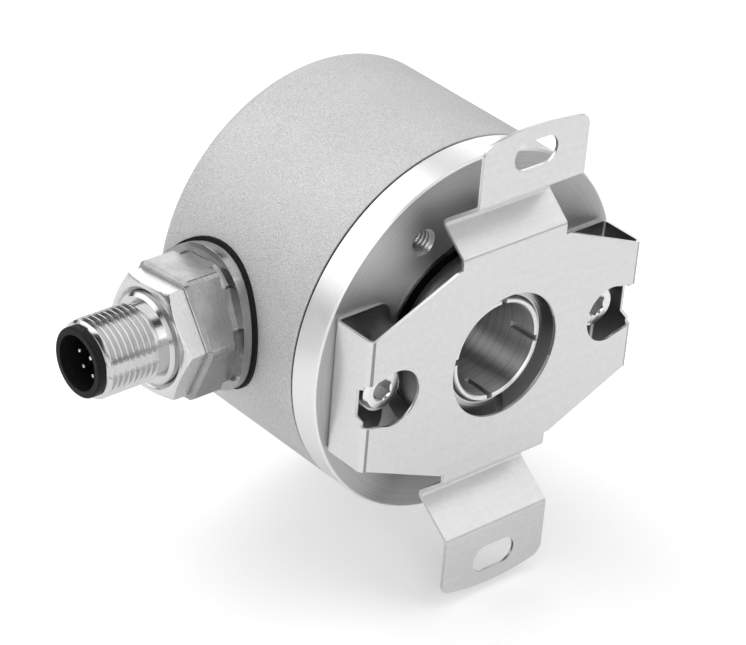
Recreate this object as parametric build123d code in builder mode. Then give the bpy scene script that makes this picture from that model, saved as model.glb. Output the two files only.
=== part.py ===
from build123d import *

import os
from math import cos, radians, sin, sqrt

# Absolute rotary encoder with a blind hollow shaft, a sheet stator coupling and a side connector.
# The shaft axis is Y. The flange's front face is at y = 0, the coupling stands before it
# towards -Y, the housing runs back towards +Y, and the connector leaves towards -X.

# Flange and housing
flange_diameter = 58.0
rim_thickness = 5.1
seam_gap = 0.35
flange_thickness = 8.0
port_to_rear = 12.5
housing_wall = 2.5
rear_wall = 2.5
rear_edge_radius = 1.2
rim_edge_break = 0.3
spigot_clearance = 0.05

# Threaded holes in the flange's front face
bolt_circle = 42.0
bolt_hole_count = 6
bolt_thread = 4.0
bolt_thread_core = 3.3
bolt_hole_depth = 6.8

# Hollow shaft
bore_diameter = 15.0
collet_wall = 0.8
collet_reach = 6.4
collet_length = 6.6
shaft_wall = 2.5
shoulder_height = 1.2
shoulder_width = 0.9
shaft_end_wall = 3.7
slit_count = 4
slit_width = 1.0
slit_depth = 5.2
slit_turn = -4.0
mouth_chamfer = 0.2

# Bearings
bearing_section = 6.0
bearing_width = 7.0
ball_diameter = 3.5
ball_count = 8
raceway_sides = 8
ring_land = 1.9
cage_thickness = 1.0
bearing_spacing = 1.8
spring_height = 0.8
spring_thickness = 0.35
retainer_width = 1.0
retainer_depth = 0.7
circlip_depth = 0.5
ring_opening = 3.8

# Shaft seal and the front recess around the clamping ring
recess_gap = 1.95
recess_depth = 1.8
seal_section = 3.6
seal_width = 2.6
seal_wall = 0.5
web_thickness = 0.6
hub_wall = 2.6
hub_rear_land = 1.3

# Clamping ring
clamp_wall = 5.9
clamp_width = 5.8
clamp_standoff = 0.1
clamp_slot = 1.3
clamp_slot_angle = -78.0
clamp_screw_diameter = 2.5
clamp_head_diameter = 4.5
clamp_head_height = 2.5
clamp_screw_length = 9.0
clamp_screw_radius = 10.8
clamp_head_gap = 0.1
clamp_socket = 2.0
clamp_socket_depth = 1.25
clamp_seat = 3.2

# Stator coupling, bent from one sheet
sheet = 0.5
bend_radius = 0.5
plate_height = 8.1
plate_hole_diameter = 20.0
wing_washer_gap = 0.3
wing_width = 21.6
foot_length = 10.1
foot_corner = 2.0
shoulder_half_width = 10.8
shoulder_half_height = 17.0
shoulder_corner = 1.0
strip_width = 20.0
strip_start = 18.8
pleat_floor_height = 2.8
pleat_floor_reach = 22.9
tab_height = 10.1
tab_start_inset = 6.0
tab_slot_inset = 4.6
tab_corner = 2.0
tab_slot_length = 8.2
tab_slot_width = 4.4
tab_slot_spacing = 68.0
screw_window_diameter = 9.0
window_fold_width = 6.6
window_end_width = 4.4
window_drop = 2.3

# Coupling screws and washers
screw_head_diameter = 7.0
screw_head_height = 4.0
screw_length = 6.0
screw_socket = 3.0
screw_socket_depth = 2.0
washer_diameter = 9.0
washer_thickness = 0.9

# Code disc and electronics
disc_hub_gap = 1.0
disc_hub_section = 3.4
disc_hub_width = 2.4
disc_pilot_section = 1.0
disc_thickness = 1.0
shaft_stand = 1.2
board_thickness = 1.6
board_rear_gap = 1.9
board_edge_gap = 1.7
board_flat_gap = 0.6
post_diameter = 4.0
post_edge_gap = 2.1
post_count = 3
post_start_angle = 30.0
post_stud_diameter = 2.4
post_stud_length = 3.0
board_screw_head = 4.4
board_screw_head_height = 1.4
board_screw_diameter = 2.0
head_length = 8.0
head_width = 5.0
head_height = 2.7
head_disc_gap = 1.3
light_length = 4.0
light_width = 2.2
light_height = 1.3
light_lens_diameter = 1.6
lens_height = 0.25
lead_thickness = 0.3
lead_width = 6.0
light_lead_width = 2.4
lead_bend = 1.6
chip_size = 9.0
chip_pitch = 12.0
chip_height = 1.2
converter_width = 4.5
capacitor_width = 3.0

# Connector, measured outwards from the shaft axis along -X
port_boss_diameter = 19.0
port_boss_face = 24.5
port_spigot_diameter = 14.0
port_wire_bore = 10.8
gasket_thickness = 0.6
gasket_diameter = 23.2
base_foot_diameter = 22.5
base_foot_height = 1.6
base_groove_width = 1.3
base_groove_diameter = 19.8
base_across_flats = 19.0
base_corner_diameter = 21.3
base_height = 7.9
base_rim_break = 0.5
nut_across_flats = 17.0
nut_height = 3.3
nut_corner_break = 0.4
nut_sink = 0.8
hex_turn = 7.0
shell_seat_depth = 4.9
shell_collar_diameter = 14.0
shell_collar_length = 8.9
undercut_width = 1.2
undercut_diameter = 10.8
thread_diameter = 12.0
thread_length = 9.1
thread_chamfer = 0.5
shell_bore = 10.0
key_slot_width = 1.7
key_slot_floor = 5.5
key_slot_angle = 5.0
insert_ring_diameter = 10.64
insert_ring_length = 1.3
insert_wall = 0.75
insert_cup_depth = 8.0
insert_edge_break = 0.2
key_rib_width = 0.9
key_rib_height = 0.5
key_rib_angle = 40.0
pin_circle = 5.5
pin_count = 7
pin_diameter = 0.8
pin_tip_depth = 2.2
pin_start_angle = 181.5
pin_tail = 1.6

# Clearances: a turning fit, a close fixed fit, and a gap between pieces that only lie near
running_fit = 0.05
seat_fit = 0.01
drill_past = 1.0

# Radii and stations worked out from the sizes above
flange_r = flange_diameter / 2
housing_inner_r = flange_r - housing_wall
housing_front = rim_thickness + seam_gap
bolt_circle_r = bolt_circle / 2

bore_r = bore_diameter / 2
collet_r = bore_r + collet_wall
seat_r = bore_r + shaft_wall
shoulder_r = seat_r + shoulder_height
bearing_r = seat_r + bearing_section
hub_r = bearing_r + hub_wall
pitch_r = seat_r + bearing_section / 2
ball_r = ball_diameter / 2 - running_fit
groove_r = ball_diameter / 2
inner_land_r = seat_r + ring_land
outer_land_r = bearing_r - ring_land

collet_front = -collet_reach
land_start = collet_length - collet_reach
seal_seat_r = seat_r + seal_section
seal_rear = recess_depth + seal_width
bearing_shelf = seal_rear + web_thickness
front_bearing_y = bearing_shelf + spring_height
rear_bearing_y = front_bearing_y + bearing_width + bearing_spacing
retainer_y = rear_bearing_y + bearing_width
hub_rear = retainer_y + retainer_width + hub_rear_land
web_bore_r = shoulder_r + shoulder_height
rear_seat_r = seat_r - circlip_depth + seat_fit

clamp_inner_r = collet_r + running_fit
clamp_r = clamp_inner_r + clamp_wall
clamp_front = -clamp_standoff - clamp_width
recess_r = clamp_r + recess_gap

wing_half = wing_width / 2
wing_reach = bolt_circle_r + washer_diameter / 2 + wing_washer_gap + sheet
foot_inner = wing_reach - foot_length
slot_centre = tab_slot_spacing / 2
tab_reach = slot_centre + tab_slot_inset
tab_start = slot_centre - tab_start_inset

disc_hub_y = retainer_y + retainer_width + disc_hub_gap
disc_hub_r = rear_seat_r + disc_hub_section
disc_pilot_r = rear_seat_r + disc_pilot_section
disc_y = disc_hub_y + disc_hub_width
disc_rear = disc_y + disc_thickness
shaft_rear = disc_rear + shaft_stand
bore_floor = shaft_rear - shaft_end_wall
post_r = post_diameter / 2
post_circle_r = housing_inner_r - post_edge_gap - post_r
disc_r = post_circle_r - post_r - board_flat_gap
board_r = housing_inner_r - board_edge_gap
board_front = disc_rear + head_disc_gap + head_height
board_rear = board_front + board_thickness
board_flat = port_boss_face - board_flat_gap
track_r = hub_r - light_width / 2 - spigot_clearance

cavity_rear = board_rear + board_rear_gap
body_length = cavity_rear + rear_wall
port_axis_y = body_length - port_to_rear

gasket_top_r = flange_r + gasket_thickness
foot_top_r = gasket_top_r + base_foot_height
groove_top_r = foot_top_r + base_groove_width
base_front = flange_r + base_height
shell_rear = base_front - shell_seat_depth
shell_collar_front = shell_rear + shell_collar_length
thread_start = shell_collar_front + undercut_width
thread_end = thread_start + thread_length
insert_tip = thread_end + insert_ring_length
insert_cup_floor = insert_tip - insert_cup_depth
insert_r = shell_bore / 2 - spigot_clearance
insert_cup_r = insert_r - insert_wall
pin_tip = insert_tip - pin_tip_depth
pin_rear = shell_rear - pin_tail
spigot_inner = port_boss_face + board_flat_gap


def facing_front(y):
    """Plane square to the shaft at y, seen from the front: local x is X, local y is Z."""
    return Plane.XZ.offset(-y)


def port_plane(distance):
    """Plane square to the connector at a distance from the shaft axis, facing outwards."""
    return Plane(origin=(-distance, port_axis_y, 0), x_dir=(0, -1, 0), z_dir=(-1, 0, 0))


# Lengthwise plane of the connector: local x is the distance outwards, local y the radius
port_profile = Plane(origin=(0, port_axis_y, 0), x_dir=(-1, 0, 0), z_dir=(0, 1, 0))
port_axis = Axis((0, port_axis_y, 0), (-1, 0, 0))

os.makedirs("parts", exist_ok=True)

# Front flange: turned disc with a recess and a seal seat before the long bearing hub
with BuildPart() as front_flange:
    with BuildSketch(Plane.XY):
        with BuildLine():
            Polyline(
                (web_bore_r, seal_rear),
                (seal_seat_r, seal_rear),
                (seal_seat_r, recess_depth),
                (recess_r, recess_depth),
                (recess_r, 0),
                (flange_r, 0),
                (flange_r, rim_thickness),
                (housing_inner_r - spigot_clearance, rim_thickness),
                (housing_inner_r - spigot_clearance, flange_thickness),
                (hub_r, flange_thickness),
                (hub_r, hub_rear),
                (bearing_r, hub_rear),
                (bearing_r, retainer_y + retainer_width),
                (bearing_r + retainer_depth, retainer_y + retainer_width),
                (bearing_r + retainer_depth, retainer_y),
                (bearing_r, retainer_y),
                (bearing_r, bearing_shelf),
                (web_bore_r, bearing_shelf),
                close=True,
            )
        make_face()
    revolve(axis=Axis.Y)
    front_edges = front_flange.edges().filter_by(GeomType.CIRCLE).group_by(Axis.Y)[0]
    chamfer(front_edges.sort_by(SortBy.RADIUS)[-1], rim_edge_break)
    with Locations(facing_front(0)):
        with PolarLocations(bolt_circle_r, bolt_hole_count):
            CounterSinkHole(
                radius=bolt_thread_core / 2,
                counter_sink_radius=bolt_thread / 2,
                depth=bolt_hole_depth,
                counter_sink_angle=90,
            )
    with BuildSketch(facing_front(flange_thickness)):
        with PolarLocations(post_circle_r, post_count, start_angle=post_start_angle):
            Circle(post_stud_diameter / 2 + running_fit)
    extrude(amount=post_stud_length + board_flat_gap, mode=Mode.SUBTRACT)
front_flange.part.label = "front_flange"
export_step(front_flange.part, "parts/front_flange.step")

# Rear housing: deep cup, thickened inside where the connector screws in
with BuildPart() as rear_housing:
    with BuildSketch(Plane.XY):
        with BuildLine():
            Polyline(
                (0, cavity_rear),
                (housing_inner_r, cavity_rear),
                (housing_inner_r, housing_front),
                (flange_r, housing_front),
                (flange_r, body_length),
                (0, body_length),
                close=True,
            )
        make_face()
    revolve(axis=Axis.Y)
    rear_edges = rear_housing.edges().filter_by(GeomType.CIRCLE).group_by(Axis.Y)[-1]
    fillet(rear_edges, rear_edge_radius)
    with BuildSketch(port_plane(port_boss_face)):
        Circle(port_boss_diameter / 2)
    extrude(amount=housing_inner_r + seam_gap - port_boss_face)
    with Locations(port_plane(flange_r + drill_past)):
        Hole(radius=port_spigot_diameter / 2 + running_fit, depth=housing_inner_r)
rear_housing.part.label = "rear_housing"
export_step(rear_housing.part, "parts/rear_housing.step")

# Flat seal in the seam between the flange rim and the housing
with BuildPart() as housing_seal:
    with BuildSketch(facing_front(rim_thickness)):
        Circle(flange_r - rim_edge_break)
        Circle(housing_inner_r, mode=Mode.SUBTRACT)
    extrude(amount=-seam_gap)
housing_seal.part.label = "housing_seal"
export_step(housing_seal.part, "parts/housing_seal.step")

# Shaft seal: a stiff case in the flange and a lip that leans on the shaft
with BuildPart() as shaft_seal:
    with BuildSketch(Plane.XY):
        with BuildLine():
            Polyline(
                (seal_seat_r - seat_fit, recess_depth + seat_fit),
                (seal_seat_r - seat_fit, seal_rear - seat_fit),
                (seal_seat_r - seal_wall, seal_rear - seat_fit),
                (seal_seat_r - seal_wall, recess_depth + seal_wall),
                (seat_r + running_fit, seal_rear - seal_wall),
                (seat_r + running_fit + seal_wall, recess_depth + seat_fit),
                close=True,
            )
        make_face()
    revolve(axis=Axis.Y)
shaft_seal.part.label = "shaft_seal"
export_step(shaft_seal.part, "parts/shaft_seal.step")

# Hollow shaft: slit collet in front, seal land, shoulder, bearing seats and a closed end
with BuildPart() as hollow_shaft:
    with BuildSketch(Plane.XY):
        with BuildLine():
            Polyline(
                (bore_r, collet_front),
                (collet_r, collet_front),
                (collet_r, land_start),
                (seat_r, land_start),
                (seat_r, front_bearing_y - shoulder_width),
                (shoulder_r, front_bearing_y - shoulder_width),
                (shoulder_r, front_bearing_y),
                (seat_r, front_bearing_y),
                (seat_r, retainer_y),
                (seat_r - circlip_depth, retainer_y),
                (seat_r - circlip_depth, shaft_rear),
                (0, shaft_rear),
                (0, bore_floor),
                (bore_r, bore_floor),
                close=True,
            )
        make_face()
    revolve(axis=Axis.Y)
    mouth_edges = hollow_shaft.edges().filter_by(GeomType.CIRCLE).group_by(Axis.Y)[0]
    chamfer(mouth_edges, mouth_chamfer)
    with BuildSketch(facing_front(collet_front)):
        with PolarLocations(bore_r + collet_wall / 2, slit_count, start_angle=slit_turn):
            Rectangle(2 * collet_wall + slit_width, slit_width)
    extrude(amount=-slit_depth, mode=Mode.SUBTRACT)
hollow_shaft.part.label = "hollow_shaft"
export_step(hollow_shaft.part, "parts/hollow_shaft.step")

# Clamping ring round the collet, cut through on one side and drawn together by a screw
slot_turn = radians(clamp_slot_angle)
screw_plane = Plane(
    origin=(
        clamp_screw_radius * cos(slot_turn),
        clamp_front + clamp_width / 2,
        clamp_screw_radius * sin(slot_turn),
    ),
    x_dir=(0, 1, 0),
    z_dir=(-sin(slot_turn), 0, cos(slot_turn)),
)
with BuildPart() as clamping_ring:
    with BuildSketch(facing_front(clamp_front)):
        Circle(clamp_r)
        Circle(clamp_inner_r, mode=Mode.SUBTRACT)
        with PolarLocations(clamp_inner_r + clamp_wall / 2, 1, start_angle=clamp_slot_angle):
            Rectangle(2 * clamp_wall, clamp_slot, mode=Mode.SUBTRACT)
    extrude(amount=-clamp_width)
    front_edges = clamping_ring.edges().filter_by(GeomType.CIRCLE).group_by(Axis.Y)[0]
    chamfer(front_edges, rim_edge_break)
    with Locations(screw_plane.offset(clamp_r)):
        CounterBoreHole(
            radius=clamp_screw_diameter / 2 + running_fit,
            counter_bore_radius=clamp_head_diameter / 2 + clamp_head_gap,
            counter_bore_depth=clamp_r - clamp_seat,
            depth=clamp_r - clamp_seat + clamp_screw_length + drill_past,
        )
clamping_ring.part.label = "clamping_ring"
export_step(clamping_ring.part, "parts/clamping_ring.step")

with BuildPart() as clamp_screw:
    with BuildSketch(screw_plane.offset(clamp_seat)):
        Circle(clamp_head_diameter / 2)
    extrude(amount=clamp_head_height)
    chamfer(clamp_screw.edges().filter_by(GeomType.CIRCLE), rim_edge_break)
    with BuildSketch(screw_plane.offset(clamp_seat)):
        Circle(clamp_screw_diameter / 2)
    extrude(amount=-clamp_screw_length)
    with BuildSketch(screw_plane.offset(clamp_seat + clamp_head_height)):
        RegularPolygon(clamp_socket / 2, 6, major_radius=False)
    extrude(amount=-clamp_socket_depth, mode=Mode.SUBTRACT)
clamp_screw.part.label = "clamp_screw"
export_step(clamp_screw.part, "parts/clamp_screw.step")

# Two deep groove ball bearings, each of two rings, a cage and its balls. The raceways and
# the balls repeat and lie hidden, so both are drawn with flat sides in place of round ones.
for place, bearing_y in (("front", front_bearing_y), ("rear", rear_bearing_y)):
    middle = bearing_y + bearing_width / 2
    with BuildPart() as inner_ring:
        with BuildSketch(Plane.XY):
            with BuildLine():
                Polyline(
                    (seat_r + seat_fit, bearing_y),
                    (inner_land_r, bearing_y),
                    (inner_land_r, bearing_y + bearing_width),
                    (seat_r + seat_fit, bearing_y + bearing_width),
                    close=True,
                )
            make_face()
            with Locations((pitch_r, middle)):
                RegularPolygon(
                    groove_r,
                    raceway_sides,
                    major_radius=False,
                    rotation=180 / raceway_sides,
                    mode=Mode.SUBTRACT,
                )
        revolve(axis=Axis.Y)
    inner_ring.part.label = f"{place}_bearing_inner_ring"
    export_step(inner_ring.part, f"parts/{place}_bearing_inner_ring.step")

    with BuildPart() as outer_ring:
        with BuildSketch(Plane.XY):
            with BuildLine():
                Polyline(
                    (outer_land_r, bearing_y),
                    (bearing_r - seat_fit, bearing_y),
                    (bearing_r - seat_fit, bearing_y + bearing_width),
                    (outer_land_r, bearing_y + bearing_width),
                    close=True,
                )
            make_face()
            with Locations((pitch_r, middle)):
                RegularPolygon(
                    groove_r,
                    raceway_sides,
                    major_radius=False,
                    rotation=180 / raceway_sides,
                    mode=Mode.SUBTRACT,
                )
        revolve(axis=Axis.Y)
    outer_ring.part.label = f"{place}_bearing_outer_ring"
    export_step(outer_ring.part, f"parts/{place}_bearing_outer_ring.step")

    with BuildPart() as bearing_cage:
        with BuildSketch(facing_front(bearing_y + cage_thickness)):
            Circle(pitch_r + cage_thickness / 2)
            Circle(pitch_r - cage_thickness / 2, mode=Mode.SUBTRACT)
        extrude(amount=-(bearing_width - 2 * cage_thickness))
        with BuildSketch(facing_front(middle)):
            with PolarLocations(pitch_r, ball_count):
                Rectangle(2 * cage_thickness, ball_diameter + 2 * running_fit)
        extrude(amount=ball_r + running_fit, both=True, mode=Mode.SUBTRACT)
    bearing_cage.part.label = f"{place}_bearing_cage"
    export_step(bearing_cage.part, f"parts/{place}_bearing_cage.step")

    with BuildPart() as bearing_balls:
        with Locations(facing_front(middle)):
            with PolarLocations(pitch_r, ball_count):
                Box(2 * ball_r, 2 * ball_r, 2 * ball_r)
        chamfer(bearing_balls.edges(), ball_r * (2 - sqrt(2)))
    bearing_balls.part.label = f"{place}_bearing_balls"
    export_step(bearing_balls.part, f"parts/{place}_bearing_balls.step")

# Sleeve between the inner rings
with BuildPart() as bearing_spacer:
    with BuildSketch(facing_front(front_bearing_y + bearing_width)):
        Circle(inner_land_r)
        Circle(seat_r + seat_fit, mode=Mode.SUBTRACT)
    extrude(amount=-bearing_spacing)
bearing_spacer.part.label = "bearing_spacer"
export_step(bearing_spacer.part, "parts/bearing_spacer.step")

# Dished spring that pushes the front outer ring back and takes the play out
with BuildPart() as preload_spring:
    with BuildSketch(Plane.XY):
        with BuildLine():
            Polyline(
                (outer_land_r + seat_fit, front_bearing_y),
                (outer_land_r + seat_fit, front_bearing_y - spring_thickness),
                (bearing_r - running_fit, bearing_shelf),
                (bearing_r - running_fit, bearing_shelf + spring_thickness),
                close=True,
            )
        make_face()
    revolve(axis=Axis.Y)
preload_spring.part.label = "preload_spring"
export_step(preload_spring.part, "parts/preload_spring.step")

# Retaining rings: an inner one in the hub's groove, an outer one in the shaft's groove
with BuildPart() as hub_retaining_ring:
    with BuildSketch(facing_front(retainer_y)):
        Circle(bearing_r + retainer_depth - running_fit)
        Circle(outer_land_r, mode=Mode.SUBTRACT)
        with Locations((0, -bearing_r)):
            Rectangle(ring_opening, 2 * bearing_section, mode=Mode.SUBTRACT)
    extrude(amount=-(retainer_width - seat_fit))
hub_retaining_ring.part.label = "hub_retaining_ring"
export_step(hub_retaining_ring.part, "parts/hub_retaining_ring.step")

with BuildPart() as shaft_circlip:
    with BuildSketch(facing_front(retainer_y)):
        Circle(inner_land_r)
        Circle(seat_r - circlip_depth + running_fit, mode=Mode.SUBTRACT)
        with Locations((0, seat_r)):
            Rectangle(ring_opening, 2 * ring_land, mode=Mode.SUBTRACT)
    extrude(amount=-retainer_width)
shaft_circlip.part.label = "shaft_circlip"
export_step(shaft_circlip.part, "parts/shaft_circlip.step")

# Code disc on its hub at the shaft's rear end
with BuildPart() as disc_hub:
    with BuildSketch(facing_front(disc_hub_y)):
        Circle(disc_hub_r)
        Circle(rear_seat_r, mode=Mode.SUBTRACT)
    extrude(amount=-disc_hub_width)
    with BuildSketch(facing_front(disc_y)):
        Circle(disc_pilot_r)
        Circle(rear_seat_r, mode=Mode.SUBTRACT)
    extrude(amount=-(shaft_rear - disc_y))
disc_hub.part.label = "disc_hub"
export_step(disc_hub.part, "parts/disc_hub.step")

with BuildPart() as code_disc:
    with BuildSketch(facing_front(disc_y)):
        Circle(disc_r)
        Circle(disc_pilot_r + seat_fit, mode=Mode.SUBTRACT)
    extrude(amount=-disc_thickness)
code_disc.part.label = "code_disc"
export_step(code_disc.part, "parts/code_disc.step")

# Electronics: posts on the flange carry the board, which reads the disc from behind
with BuildPart() as board_posts:
    with BuildSketch(facing_front(flange_thickness)):
        with PolarLocations(post_circle_r, post_count, start_angle=post_start_angle):
            Circle(post_r)
    extrude(amount=-(board_front - flange_thickness))
    with BuildSketch(facing_front(board_front)):
        with PolarLocations(post_circle_r, post_count, start_angle=post_start_angle):
            Circle(board_screw_diameter / 2 + seat_fit)
    extrude(amount=post_stud_length + board_flat_gap, mode=Mode.SUBTRACT)
    with BuildSketch(facing_front(flange_thickness)):
        with PolarLocations(post_circle_r, post_count, start_angle=post_start_angle):
            Circle(post_stud_diameter / 2)
    extrude(amount=post_stud_length)
board_posts.part.label = "board_posts"
export_step(board_posts.part, "parts/board_posts.step")

with BuildPart() as circuit_board:
    with BuildSketch(facing_front(board_front)):
        Circle(board_r)
        with Locations((-board_flat, 0)):
            Rectangle(2 * board_r, 2 * board_r, align=(Align.MAX, Align.CENTER), mode=Mode.SUBTRACT)
        with PolarLocations(post_circle_r, post_count, start_angle=post_start_angle):
            Circle(board_screw_diameter / 2 + running_fit, mode=Mode.SUBTRACT)
    extrude(amount=-board_thickness)
circuit_board.part.label = "circuit_board"
export_step(circuit_board.part, "parts/circuit_board.step")

with BuildPart() as board_screws:
    with BuildSketch(facing_front(board_rear)):
        with PolarLocations(post_circle_r, post_count, start_angle=post_start_angle):
            Circle(board_screw_head / 2)
    extrude(amount=-board_screw_head_height)
    with BuildSketch(facing_front(board_rear)):
        with PolarLocations(post_circle_r, post_count, start_angle=post_start_angle):
            Circle(board_screw_diameter / 2)
    extrude(amount=board_thickness + post_stud_length)
board_screws.part.label = "board_screws"
export_step(board_screws.part, "parts/board_screws.step")

with BuildPart() as read_head:
    with BuildSketch(facing_front(board_front)):
        with Locations((0, track_r)):
            Rectangle(head_length, head_width)
    extrude(amount=head_height)
read_head.part.label = "read_head"
export_step(read_head.part, "parts/read_head.step")

with BuildPart() as light_source:
    with BuildSketch(facing_front(hub_rear)):
        with Locations((0, track_r)):
            Rectangle(light_length, light_width)
    extrude(amount=-light_height)
    with BuildSketch(facing_front(hub_rear + light_height)):
        with Locations((0, track_r)):
            Circle(light_lens_diameter / 2)
    extrude(amount=-lens_height)
light_source.part.label = "light_source"
export_step(light_source.part, "parts/light_source.step")

# Flat lead from the light round the disc's rim to the board
light_lead_y = hub_rear + light_height / 2
light_lead_z = disc_r + light_lead_width / 2
with BuildPart() as light_lead:
    with BuildSketch(Plane.YZ):
        with BuildLine():
            FilletPolyline(
                (light_lead_y, track_r + light_width / 2),
                (light_lead_y, light_lead_z),
                (board_front, light_lead_z),
                radius=light_height,
            )
        trace(line_width=lead_thickness)
    extrude(amount=light_lead_width / 2, both=True)
light_lead.part.label = "light_lead"
export_step(light_lead.part, "parts/light_lead.step")

# Small parts on the back of the board: processor, converter and two capacitors
with BuildPart() as board_chips:
    with BuildSketch(facing_front(board_rear)):
        Rectangle(chip_size, chip_size)
        with Locations((chip_pitch, 0)):
            Rectangle(converter_width, chip_size)
        with Locations((0, chip_pitch), (0, -chip_pitch)):
            Rectangle(chip_size, capacitor_width)
    extrude(amount=-chip_height)
board_chips.part.label = "board_chips"
export_step(board_chips.part, "parts/board_chips.step")

# Stator coupling: one sheet bent into a saddle with two feet and a pleated strip with two tabs
half_sheet = sheet / 2
bend_line_radius = bend_radius + half_sheet
with BuildPart() as stator_coupling:
    with BuildSketch(Plane.XY):
        with BuildLine():
            FilletPolyline(
                (foot_inner, -half_sheet),
                (wing_reach - half_sheet, -half_sheet),
                (wing_reach - half_sheet, half_sheet - plate_height),
                (half_sheet - wing_reach, half_sheet - plate_height),
                (half_sheet - wing_reach, -half_sheet),
                (-foot_inner, -half_sheet),
                radius=bend_line_radius,
            )
        trace(line_width=sheet)
    extrude(amount=wing_half, both=True)
    foot_edges = stator_coupling.edges().filter_by(Axis.Y).group_by(Axis.Y)[-1]
    fillet(foot_edges, foot_corner)
    with BuildSketch(Plane.YZ):
        with BuildLine():
            FilletPolyline(
                (half_sheet - tab_height, -tab_reach),
                (half_sheet - tab_height, -tab_start),
                (-pleat_floor_height - half_sheet, -pleat_floor_reach),
                (half_sheet - plate_height, -strip_start),
                (half_sheet - plate_height, strip_start),
                (-pleat_floor_height - half_sheet, pleat_floor_reach),
                (half_sheet - tab_height, tab_start),
                (half_sheet - tab_height, tab_reach),
                radius=bend_line_radius,
            )
        trace(line_width=sheet)
    extrude(amount=strip_width / 2, both=True)
    with BuildSketch(facing_front(-plate_height)):
        Polygon(
            (wing_reach - bend_line_radius - half_sheet, wing_half),
            (shoulder_half_width, shoulder_half_height),
            (-shoulder_half_width, shoulder_half_height),
            (bend_line_radius + half_sheet - wing_reach, wing_half),
            (bend_line_radius + half_sheet - wing_reach, -wing_half),
            (-shoulder_half_width, -shoulder_half_height),
            (shoulder_half_width, -shoulder_half_height),
            (wing_reach - bend_line_radius - half_sheet, -wing_half),
        )
    extrude(amount=-sheet)
    with BuildSketch(facing_front(-tab_height)):
        Circle(tab_reach)
    extrude(amount=-tab_height, mode=Mode.INTERSECT)
    tab_edges = stator_coupling.edges().filter_by(Axis.Y).group_by(Axis.Y)[0]
    fillet(tab_edges, tab_corner)
    with BuildSketch(facing_front(-tab_height)):
        with Locations((0, slot_centre), (0, -slot_centre)):
            SlotOverall(tab_slot_length, tab_slot_width)
        Circle(plate_hole_diameter / 2)
    extrude(amount=-tab_height + pleat_floor_height, mode=Mode.SUBTRACT)
    # Windows over the screws, which run on as notches down the side walls
    with BuildSketch(facing_front(-plate_height)):
        for side in (1, -1):
            with Locations((side * bolt_circle_r, 0)):
                Circle(screw_window_diameter / 2)
            Polygon(
                (side * bolt_circle_r, screw_window_diameter / 2),
                (side * (wing_reach + sheet), window_fold_width / 2),
                (side * (wing_reach + sheet), -window_fold_width / 2),
                (side * bolt_circle_r, -screw_window_diameter / 2),
                align=None,
            )
    extrude(amount=-bend_radius - sheet, mode=Mode.SUBTRACT)
    for side in (1, -1):
        with BuildSketch(Plane.YZ.offset(side * (wing_reach - bend_radius - sheet))):
            Polygon(
                (-plate_height - sheet, window_fold_width / 2),
                (-plate_height + window_drop, window_end_width / 2),
                (-plate_height + window_drop, -window_end_width / 2),
                (-plate_height - sheet, -window_fold_width / 2),
                align=None,
            )
        extrude(amount=side * (bend_radius + 2 * sheet), mode=Mode.SUBTRACT)
    with BuildSketch(facing_front(0)):
        with Locations((bolt_circle_r, 0), (-bolt_circle_r, 0)):
            Circle(bolt_thread / 2 + running_fit)
    extrude(amount=sheet, mode=Mode.SUBTRACT)
stator_coupling.part.label = "stator_coupling"
export_step(stator_coupling.part, "parts/stator_coupling.step")

# Screws and washers that hold the coupling's feet on the flange
with BuildPart() as coupling_washers:
    with BuildSketch(facing_front(-sheet)):
        with Locations((bolt_circle_r, 0), (-bolt_circle_r, 0)):
            Circle(washer_diameter / 2)
            Circle(bolt_thread / 2 + running_fit, mode=Mode.SUBTRACT)
    extrude(amount=washer_thickness)
coupling_washers.part.label = "coupling_washers"
export_step(coupling_washers.part, "parts/coupling_washers.step")

screw_seat = -sheet - washer_thickness
with BuildPart() as coupling_screws:
    with BuildSketch(facing_front(screw_seat)):
        with Locations((bolt_circle_r, 0), (-bolt_circle_r, 0)):
            Circle(screw_head_diameter / 2)
    extrude(amount=screw_head_height)
    head_edges = coupling_screws.edges().filter_by(GeomType.CIRCLE).group_by(Axis.Y)[0]
    chamfer(head_edges, rim_edge_break)
    with BuildSketch(facing_front(screw_seat - screw_head_height)):
        with Locations((bolt_circle_r, 0), (-bolt_circle_r, 0)):
            RegularPolygon(screw_socket / 2, 6, major_radius=False)
    extrude(amount=-screw_socket_depth, mode=Mode.SUBTRACT)
    with BuildSketch(facing_front(screw_seat)):
        with Locations((bolt_circle_r, 0), (-bolt_circle_r, 0)):
            Circle(bolt_thread / 2)
    extrude(amount=screw_seat)
    # In the flange the shank is drawn at the core of its thread
    with BuildSketch(facing_front(0)):
        with Locations((bolt_circle_r, 0), (-bolt_circle_r, 0)):
            Circle(bolt_thread_core / 2 - seat_fit)
    extrude(amount=-screw_length)
coupling_screws.part.label = "coupling_screws"
export_step(coupling_screws.part, "parts/coupling_screws.step")

# Connector: gasket and base follow the housing's round wall
with BuildPart() as connector_gasket:
    with BuildSketch(port_plane(port_boss_face)):
        Circle(gasket_diameter / 2)
        Circle(port_spigot_diameter / 2 + running_fit, mode=Mode.SUBTRACT)
    extrude(amount=base_front - port_boss_face)
    with BuildSketch(facing_front(0)):
        Circle(gasket_top_r)
    extrude(amount=-body_length, mode=Mode.INTERSECT)
    with BuildSketch(facing_front(0)):
        Circle(flange_r)
    extrude(amount=-body_length, mode=Mode.SUBTRACT)
connector_gasket.part.label = "connector_gasket"
export_step(connector_gasket.part, "parts/connector_gasket.step")

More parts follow.
